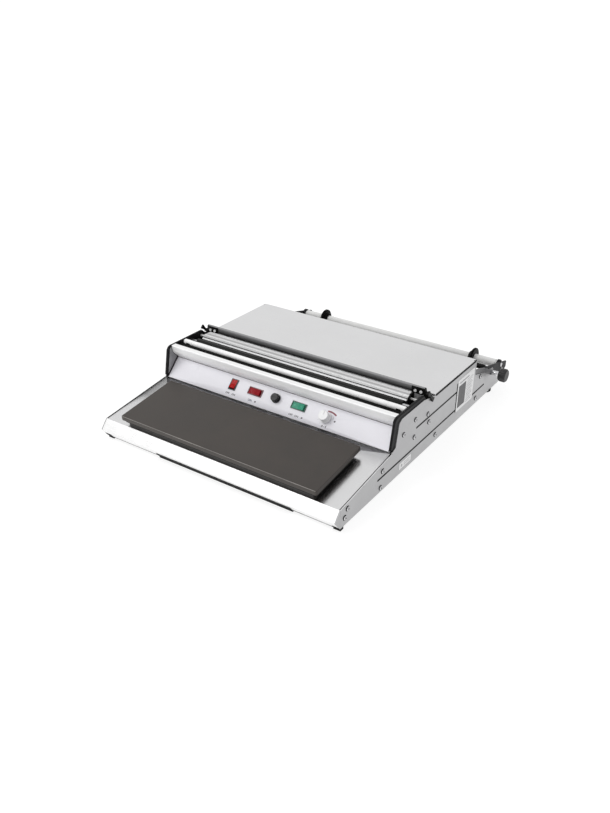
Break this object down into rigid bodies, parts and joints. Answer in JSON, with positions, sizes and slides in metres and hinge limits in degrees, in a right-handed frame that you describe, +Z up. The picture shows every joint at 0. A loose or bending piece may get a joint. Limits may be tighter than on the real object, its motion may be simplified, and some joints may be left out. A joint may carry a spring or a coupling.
{
  "type": "stretch-film hand wrapper",
  "caption": "Bench machine that cuts and seals stretch film round food trays: sloped tray with hot plate, control panel, hot cutting rod, film bars, hinged cover and rear film cradle.",
  "frame": {"origin": "centre of the bounding box's footprint, on the surface that the rubber feet stand on", "axes": "+X to the user's right, +Y from the tray at the front to the film cradle at the back, +Z up"},
  "size_m": [0.518, 0.6206, 0.117],
  "materials": {
    "housing_steel": "brushed",
    "tray_steel": "brushed",
    "lip_steel": "satin",
    "cover_steel": "brushed",
    "plate_coating": "satin non-stick coating",
    "pan_dark": "satin",
    "heater_mat": "matte",
    "panel_white": "satin",
    "cap_black": "fine grain",
    "nose_polished": "polished",
    "bed_black": "satin",
    "pin_white": "satin",
    "strip_black": "satin",
    "rod_tape": "wound non-stick tape",
    "holder_dark": "matte",
    "roller_black": "satin",
    "axle_steel": "turned",
    "sleeve_bright": "plated",
    "ribbed_aluminium": "extruded",
    "guard_black": "satin",
    "press_dark": "anodised",
    "screw_bright": "plated",
    "wing_black": "satin",
    "clamp_black": "fine grain",
    "disc_black": "satin",
    "roller_white": "satin",
    "arm_dark": "powder coat",
    "foot_rubber": "matte",
    "switch_black": "gloss",
    "switch_maroon": "gloss",
    "switch_green": "gloss",
    "rocker_bright_red": "gloss",
    "rocker_dark_red": "gloss",
    "rocker_green": "gloss",
    "fuse_black": "gloss",
    "thermostat_metal": "plain",
    "knob_white": "gloss",
    "core_iron": "varnished",
    "block_cream": "satin"
  },
  "bodies": {
    "housing": {"bar_bed": "bed_black", "bar_end_guard": "guard_black", "base_pan": "housing_steel", "clamp_bolts": "sleeve_bright", "control_panel": "panel_white", "cover_bumpers": "foot_rubber", "cover_hinge_pins": "axle_steel", "cradle_bracket_left": "arm_dark", "cradle_bracket_right": "arm_dark", "cutting_rod": "rod_tape", "end_cap_left": "cap_black", "end_cap_right": "cap_black", "film_roller_axle": "axle_steel", "front_lip": "lip_steel", "fuse_holder": "switch_black", "hot_plate": "plate_coating", "inner_deck": "housing_steel", "insulating_strip": "strip_black", "lip_ends": "tray_steel", "mains_switch_body": "switch_black", "nose_profile": "nose_polished", "plate_heater": "heater_mat", "plate_pan": "pan_dark", "plate_switch_body": "switch_green", "press_bar_brackets": "guard_black", "ribbed_bar": "ribbed_aluminium", "ribbed_bar_pins": "pin_white", "rod_holders": "holder_dark", "rod_switch_body": "switch_maroon", "rubber_feet": "foot_rubber", "side_plate_left": "housing_steel", "side_plate_right": "housing_steel", "side_screws_left": "screw_bright", "side_screws_right": "screw_bright", "terminal_block": "block_cream", "thermostat": "thermostat_metal", "transformer": "core_iron", "tray": "tray_steel"},
    "cover": {"cover": "cover_steel"},
    "cradle_arms": {"cradle_arm_left": "arm_dark", "cradle_arm_right": "arm_dark", "cradle_rear_shaft": "axle_steel", "cradle_front_axle": "axle_steel"},
    "rear_roller": {"cradle_roller_rear": "roller_white"},
    "disc_left": {"film_disc_left": "disc_black"},
    "disc_right": {"film_disc_right": "disc_black"},
    "front_roller": {"cradle_roller_front": "roller_black"},
    "film_roller": {"film_roller": "roller_black"},
    "press_bar": {"press_bar": "press_dark", "press_bar_ends": "guard_black", "press_bar_screws": "screw_bright"},
    "wing_left": {"wing_screw_left": "wing_black"},
    "wing_right": {"wing_screw_right": "wing_black"},
    "clamp_left": {"clamp_knob_left": "clamp_black"},
    "clamp_right": {"clamp_knob_right": "clamp_black"},
    "mains_rocker": {"mains_rocker": "rocker_bright_red"},
    "rod_rocker": {"rod_rocker": "rocker_dark_red"},
    "plate_rocker": {"plate_rocker": "rocker_green"},
    "fuse_cap": {"fuse_cap": "fuse_black"},
    "temperature_knob": {"temperature_knob": "knob_white"}
  },
  "joints": [
    {"name": "cover_hinge", "type": "hinge", "parent": "housing", "child": "cover", "pos_m": [0, 0.14375, 0.0915], "axis": [-1, 0, 0], "range_deg": [0, 75]},
    {"name": "press_bar_tilt", "type": "hinge", "parent": "housing", "child": "press_bar", "pos_m": [0, -0.03525, 0.104], "axis": [-1, 0, 0], "range_deg": [0, 60]},
    {"name": "wing_screw_left_turn", "type": "hinge", "parent": "housing", "child": "wing_left", "pos_m": [-0.233, -0.03525, 0.104], "axis": [1, 0, 0], "range_deg": [0, 360]},
    {"name": "wing_screw_right_turn", "type": "hinge", "parent": "housing", "child": "wing_right", "pos_m": [0.233, -0.03525, 0.104], "axis": [1, 0, 0], "range_deg": [0, 360]},
    {"name": "film_roller_spin", "type": "hinge", "parent": "housing", "child": "film_roller", "pos_m": [0, -0.08425, 0.1033], "axis": [1, 0, 0], "continuous": true},
    {"name": "front_roller_spin", "type": "hinge", "parent": "cradle_arms", "child": "front_roller", "pos_m": [0, 0.22605, 0.0479], "axis": [1, 0, 0], "continuous": true},
    {"name": "cradle_slide", "type": "slide", "parent": "housing", "child": "cradle_arms", "axis": [0, 0.9669, -0.255], "range_m": [-0.01, 0.025]},
    {"name": "rear_roller_spin", "type": "hinge", "parent": "cradle_arms", "child": "rear_roller", "pos_m": [0, 0.28225, 0.0342], "axis": [1, 0, 0], "continuous": true},
    {"name": "disc_left_slide", "type": "slide", "parent": "rear_roller", "child": "disc_left", "axis": [1, 0, 0], "range_m": [-0.03, 0.12]},
    {"name": "disc_right_slide", "type": "slide", "parent": "rear_roller", "child": "disc_right", "axis": [-1, 0, 0], "range_m": [-0.03, 0.12]},
    {"name": "clamp_left_turn", "type": "hinge", "parent": "housing", "child": "clamp_left", "pos_m": [-0.252, 0.23075, 0.0395], "axis": [1, 0, 0], "range_deg": [0, 360]},
    {"name": "clamp_right_turn", "type": "hinge", "parent": "housing", "child": "clamp_right", "pos_m": [0.252, 0.23075, 0.0395], "axis": [1, 0, 0], "range_deg": [0, 360]},
    {"name": "mains_rocker_tilt", "type": "hinge", "parent": "housing", "child": "mains_rocker", "pos_m": [-0.0877, -0.1326, 0.07063], "axis": [1, 0, 0], "range_deg": [0, 18]},
    {"name": "rod_rocker_tilt", "type": "hinge", "parent": "housing", "child": "rod_rocker", "pos_m": [-0.041, -0.13275, 0.07049], "axis": [0, 0.713, 0.7011], "range_deg": [0, 18]},
    {"name": "plate_rocker_tilt", "type": "hinge", "parent": "housing", "child": "plate_rocker", "pos_m": [0.0473, -0.13275, 0.07049], "axis": [0, 0.713, 0.7011], "range_deg": [0, 18]},
    {"name": "fuse_cap_turn", "type": "hinge", "parent": "housing", "child": "fuse_cap", "pos_m": [0.0017, -0.13807, 0.07647], "axis": [0, -0.7011, 0.713], "range_deg": [0, 90]},
    {"name": "temperature_knob_turn", "type": "hinge", "parent": "housing", "child": "temperature_knob", "pos_m": [0.101, -0.14233, 0.07509], "axis": [0, -0.7011, 0.713], "range_deg": [-150, 150]}
  ]
}
